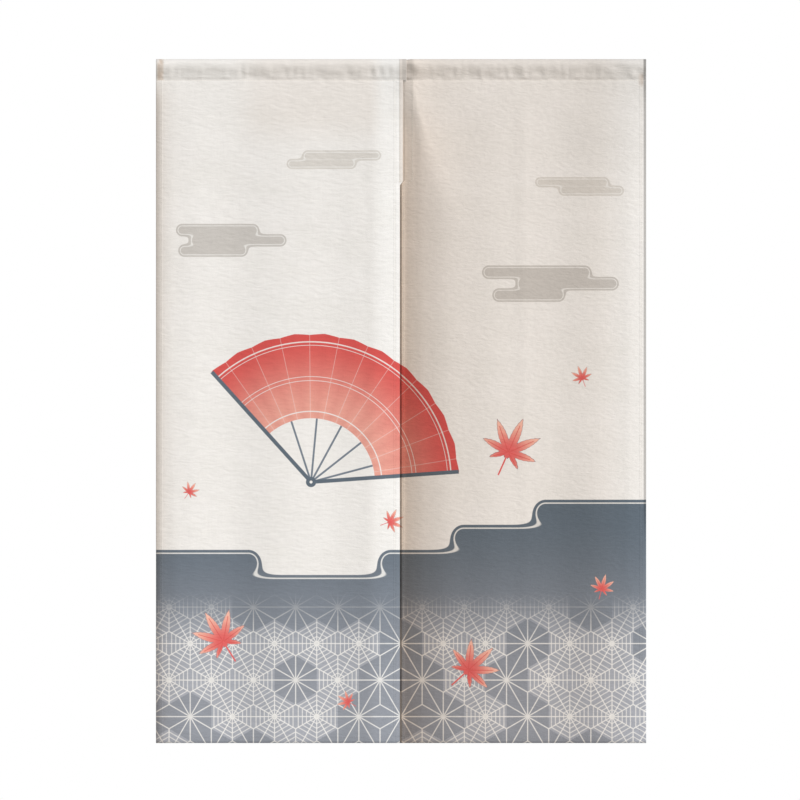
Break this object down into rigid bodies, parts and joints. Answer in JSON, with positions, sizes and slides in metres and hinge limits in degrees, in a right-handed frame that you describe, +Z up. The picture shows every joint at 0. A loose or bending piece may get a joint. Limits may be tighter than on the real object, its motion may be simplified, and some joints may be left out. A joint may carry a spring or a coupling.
{
  "type": "noren curtain",
  "caption": "Doorway curtain of off-white cloth in two panels, sewn together over the upper part, with a long slit and a rod pocket along the top.",
  "frame": {"origin": "middle of the top edge, in the plane of the rod that the pocket takes", "axes": "+X to the viewer's right along the rod, +Y to the back, +Z up; the front faces -Y"},
  "size_m": [0.8607, 0.0325, 1.2],
  "materials": {
    "panel_cloth": "matt off-white linen-like weave with slubs, printed on the front",
    "heading_cloth": "matt off-white linen-like weave with slubs"
  },
  "bodies": {
    "root": {"panel_left": "panel_cloth", "panel_right": "panel_cloth", "heading_left": "heading_cloth", "heading_right": "heading_cloth"}
  },
  "joints": []
}
